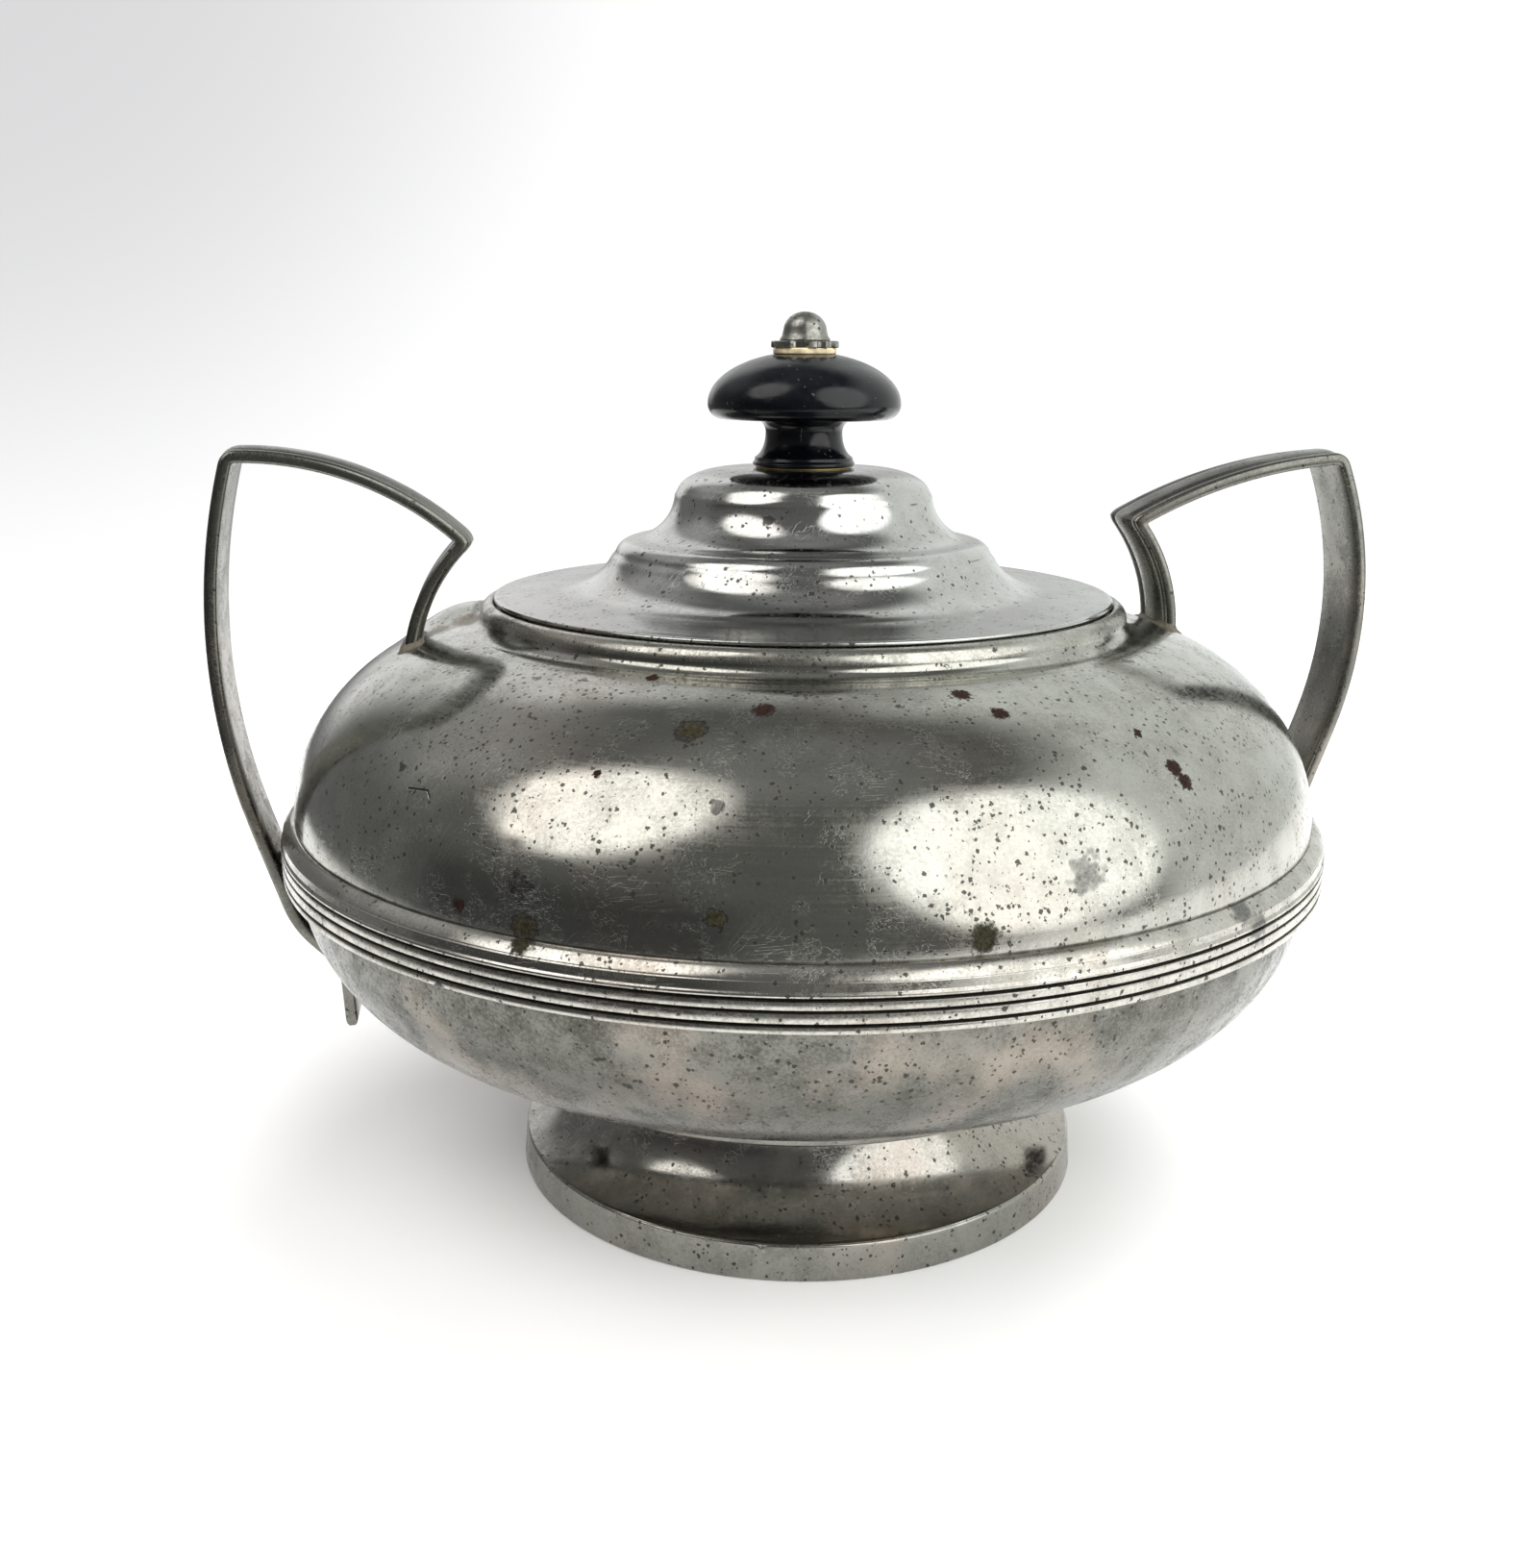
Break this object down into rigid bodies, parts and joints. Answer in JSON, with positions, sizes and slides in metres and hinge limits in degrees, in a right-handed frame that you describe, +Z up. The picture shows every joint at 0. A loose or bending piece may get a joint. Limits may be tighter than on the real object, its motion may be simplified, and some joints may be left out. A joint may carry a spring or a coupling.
{
  "type": "sugar bowl",
  "caption": "Lidded sugar bowl in spun pewter with a reeded girdle, a scooped foot, strap loop handles and a turned black knob on a lift-off lid.",
  "frame": {"origin": "on the table, under the axis of the bowl", "axes": "+X from the axis towards the right handle, +Y towards the back, +Z up along the bowl's axis"},
  "size_m": [0.1585, 0.1406, 0.1179],
  "materials": {
    "pewter_shell": "tarnished pewter, worn satin with fine pits",
    "pewter_ring": "pewter rubbed brighter on its raised edges",
    "pewter_strap": "darkened cast pewter",
    "pewter_lid": "tarnished pewter, worn satin",
    "pewter_inner": "dull grey pewter",
    "pewter_nut": "worn pewter",
    "solder": "dull soft solder",
    "ebonised": "polished black",
    "bone": "aged cream",
    "brass": "dull brass"
  },
  "bodies": {
    "bowl": {"lower_bowl": "pewter_shell", "upper_bowl": "pewter_shell", "reeded_girdle": "pewter_ring", "mouth_rim": "pewter_ring", "lid_seat_ring": "pewter_inner", "foot_collar": "pewter_shell", "foot_shell": "pewter_shell", "foot_rim": "pewter_ring", "left_handle_riser": "pewter_strap", "left_handle_top": "pewter_strap", "left_handle_grip": "pewter_strap", "left_handle_solder": "solder", "right_handle_riser": "pewter_strap", "right_handle_top": "pewter_strap", "right_handle_grip": "pewter_strap", "right_handle_solder": "solder"},
    "stud": {"finial_stud": "brass"},
    "lid": {"lid_shell": "pewter_lid", "lid_bezel": "pewter_inner", "finial_base_washer": "brass", "finial_knob": "ebonised", "finial_top_washer": "bone", "finial_collar": "pewter_nut", "finial_cap_nut": "pewter_nut", "finial_lock_washer": "brass", "finial_lock_nut": "brass"}
  },
  "joints": [
    {"name": "lid_lift", "type": "slide", "parent": "bowl", "child": "stud", "axis": [0, 0, 1], "range_m": [0, 0.055]},
    {"name": "lid_turn", "type": "hinge", "parent": "stud", "child": "lid", "pos_m": [0, 0, 0.0979], "axis": [0, 0, 1], "continuous": true}
  ]
}
